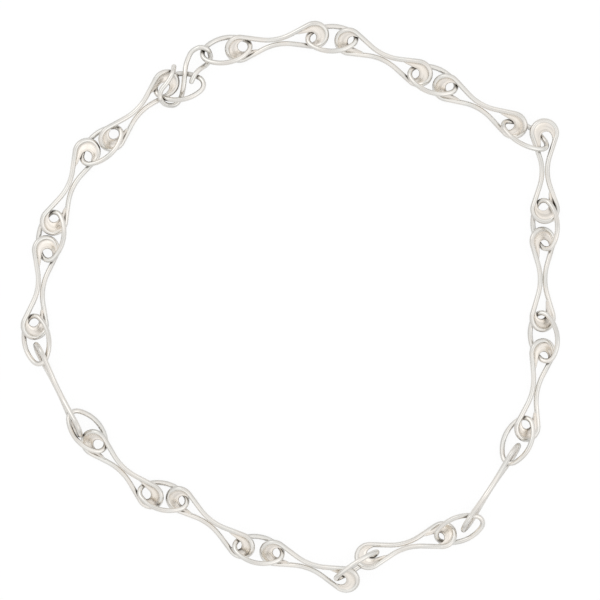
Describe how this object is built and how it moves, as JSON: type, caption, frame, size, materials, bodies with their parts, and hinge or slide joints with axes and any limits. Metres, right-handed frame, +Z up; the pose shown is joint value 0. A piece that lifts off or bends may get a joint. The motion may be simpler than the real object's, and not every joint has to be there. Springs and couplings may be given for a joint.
{
  "type": "sail link chain necklace",
  "caption": "Necklace of long pinched wire links with a thin sail in each end, joined by oval links and closed on a bent-wire S-hook, laid flat in a loop.",
  "frame": {"origin": "on the surface that the necklace lies on, under the middle of its outline", "axes": "+Z up, away from the surface; +Y and +X in the surface, the hook towards -X and +Y"},
  "size_m": [0.1422, 0.151, 0.0086],
  "materials": {
    "hook_silver": "polished silver, faintly worn",
    "oval_silver": "polished silver wire, faintly worn",
    "sail_silver": "polished silver, faint hand-finish scratches on the sails, darker in the creases"
  },
  "bodies": {
    "root": {"hook_clasp": "hook_silver", "oval_link_01": "oval_silver", "oval_link_02": "oval_silver", "oval_link_03": "oval_silver", "oval_link_04": "oval_silver", "oval_link_05": "oval_silver", "oval_link_06": "oval_silver", "oval_link_07": "oval_silver", "oval_link_08": "oval_silver", "oval_link_09": "oval_silver", "oval_link_10": "oval_silver", "oval_link_11": "oval_silver", "oval_link_12": "oval_silver", "oval_link_13": "oval_silver", "oval_link_14": "oval_silver", "oval_link_15": "oval_silver", "oval_link_16": "oval_silver", "sail_link_01": "sail_silver", "sail_link_02": "sail_silver", "sail_link_03": "sail_silver", "sail_link_04": "sail_silver", "sail_link_05": "sail_silver", "sail_link_06": "sail_silver", "sail_link_07": "sail_silver", "sail_link_08": "sail_silver", "sail_link_09": "sail_silver", "sail_link_10": "sail_silver", "sail_link_11": "sail_silver", "sail_link_12": "sail_silver", "sail_link_13": "sail_silver", "sail_link_14": "sail_silver", "sail_link_15": "sail_silver"}
  },
  "joints": []
}
